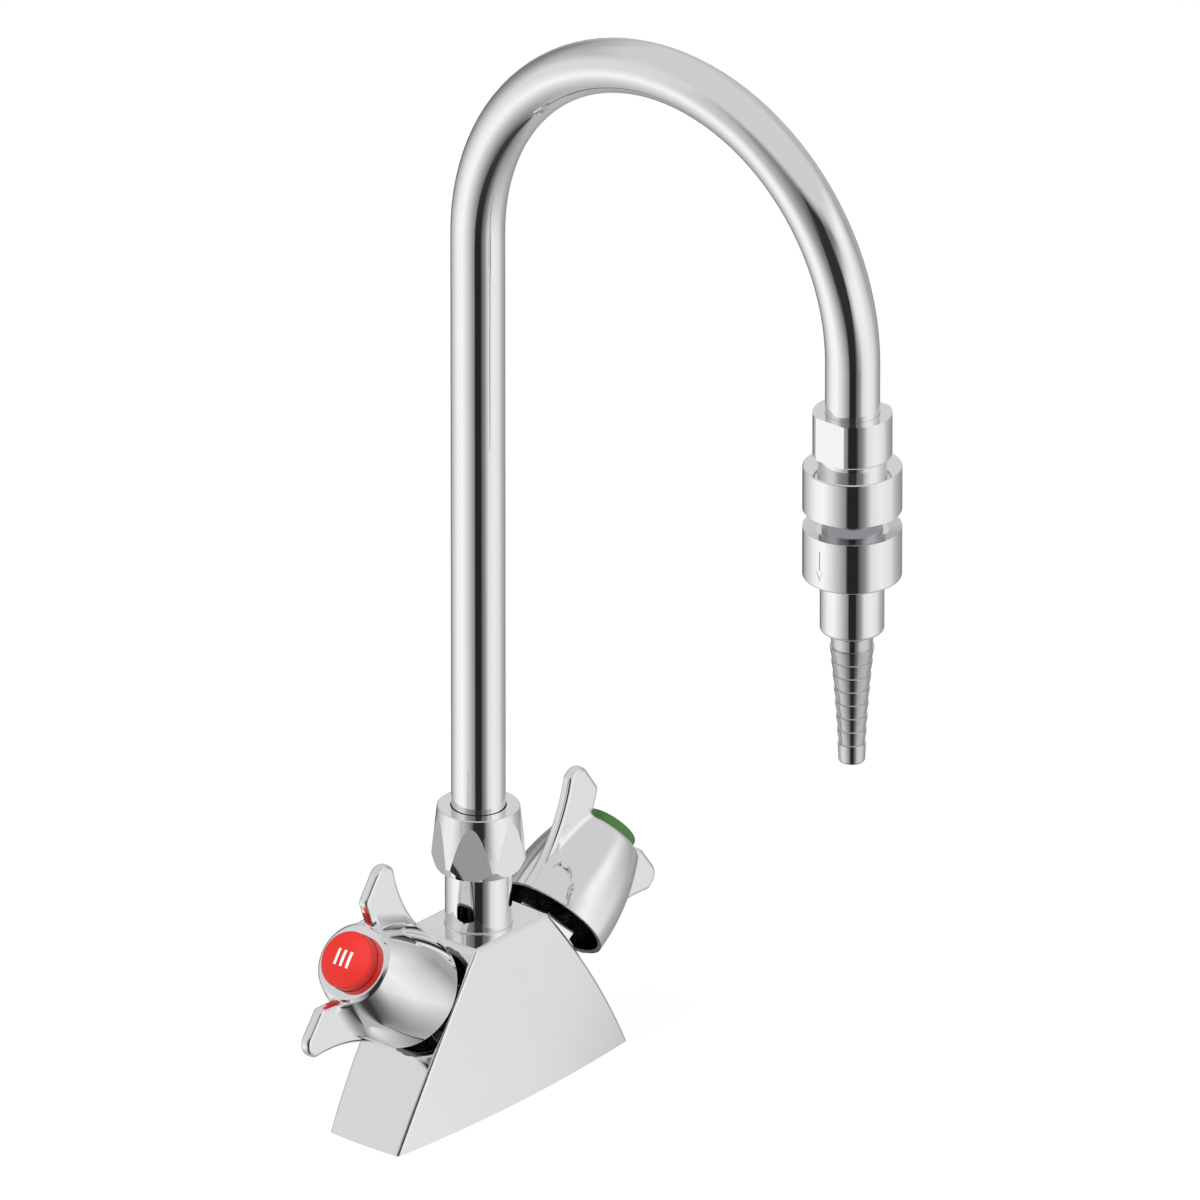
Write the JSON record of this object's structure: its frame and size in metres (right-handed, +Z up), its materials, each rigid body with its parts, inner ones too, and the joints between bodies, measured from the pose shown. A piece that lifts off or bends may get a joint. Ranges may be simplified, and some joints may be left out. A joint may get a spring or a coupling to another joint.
{
  "type": "laboratory gooseneck tap",
  "caption": "Deck-mounted laboratory mixing tap with two slanted wing handles, a swinging gooseneck, a vacuum breaker and a serrated hose nozzle.",
  "frame": {"origin": "centre of the body's base, on the bench", "axes": "+Z up, the spout points to -Y, the hot handle is at -X and the cold handle at +X"},
  "size_m": [0.1696, 0.1868, 0.3802],
  "materials": {
    "bright_chrome": "polished",
    "core_plating": "satin",
    "bare_brass": "machined",
    "spring_steel": "satin",
    "white_ceramic": "polished",
    "white_plastic": "matt",
    "black_rubber": "matt",
    "hot_red": "gloss",
    "cold_green": "gloss"
  },
  "bodies": {
    "tap_body": {"body_casting": "bright_chrome", "base_gasket": "black_rubber", "spout_post": "bright_chrome", "post_o_ring": "black_rubber", "coupling_nut": "bright_chrome", "hot_bonnet": "bright_chrome", "hot_cartridge_body": "bright_chrome", "hot_fixed_disc": "white_ceramic", "hot_seat_seal": "black_rubber", "hot_cartridge_o_ring": "black_rubber", "cold_bonnet": "bright_chrome", "cold_cartridge_body": "bright_chrome", "cold_fixed_disc": "white_ceramic", "cold_seat_seal": "black_rubber", "cold_cartridge_o_ring": "black_rubber"},
    "hot_valve": {"hot_handle": "bright_chrome", "hot_wing_marks": "hot_red", "hot_index_cap": "hot_red", "hot_handle_screw": "spring_steel", "hot_stem": "core_plating", "hot_stem_clip": "spring_steel", "hot_stem_o_ring": "black_rubber", "hot_moving_disc": "white_ceramic"},
    "cold_valve": {"cold_handle": "bright_chrome", "cold_wing_marks": "cold_green", "cold_index_cap": "cold_green", "cold_handle_screw": "spring_steel", "cold_stem": "core_plating", "cold_stem_clip": "spring_steel", "cold_stem_o_ring": "black_rubber", "cold_moving_disc": "white_ceramic"},
    "gooseneck": {"gooseneck_tube": "bright_chrome", "swivel_collar": "bare_brass", "swivel_o_rings": "black_rubber", "thrust_washer": "white_plastic", "breaker_inlet_adapter": "bright_chrome", "breaker_canopy": "bright_chrome", "breaker_core": "core_plating", "breaker_body": "bright_chrome", "breaker_outlet": "bright_chrome", "breaker_seat_ring": "bare_brass", "breaker_diaphragm": "black_rubber", "breaker_spring": "spring_steel", "nozzle_washer": "black_rubber", "hose_nozzle": "bright_chrome"},
    "poppet": {"breaker_poppet": "white_plastic"}
  },
  "joints": [
    {"name": "hot_handle_turn", "type": "hinge", "parent": "tap_body", "child": "hot_valve", "pos_m": [-0.0296, 0, 0.042], "axis": [-0.808, 0, 0.5892], "range_deg": [0, 90]},
    {"name": "cold_handle_turn", "type": "hinge", "parent": "tap_body", "child": "cold_valve", "pos_m": [0.0296, 0, 0.042], "axis": [-0.808, 0, -0.5892], "range_deg": [0, 90]},
    {"name": "gooseneck_swing", "type": "hinge", "parent": "tap_body", "child": "gooseneck", "pos_m": [0, 0, 0.09], "axis": [0, 0, 1], "continuous": true},
    {"name": "breaker_poppet_lift", "type": "slide", "parent": "gooseneck", "child": "poppet", "axis": [0, 0, -1], "range_m": [0, 0.002], "stiffness_N_per_m": 150, "springref_m": -0.004, "deforming": ["breaker_spring"]}
  ]
}
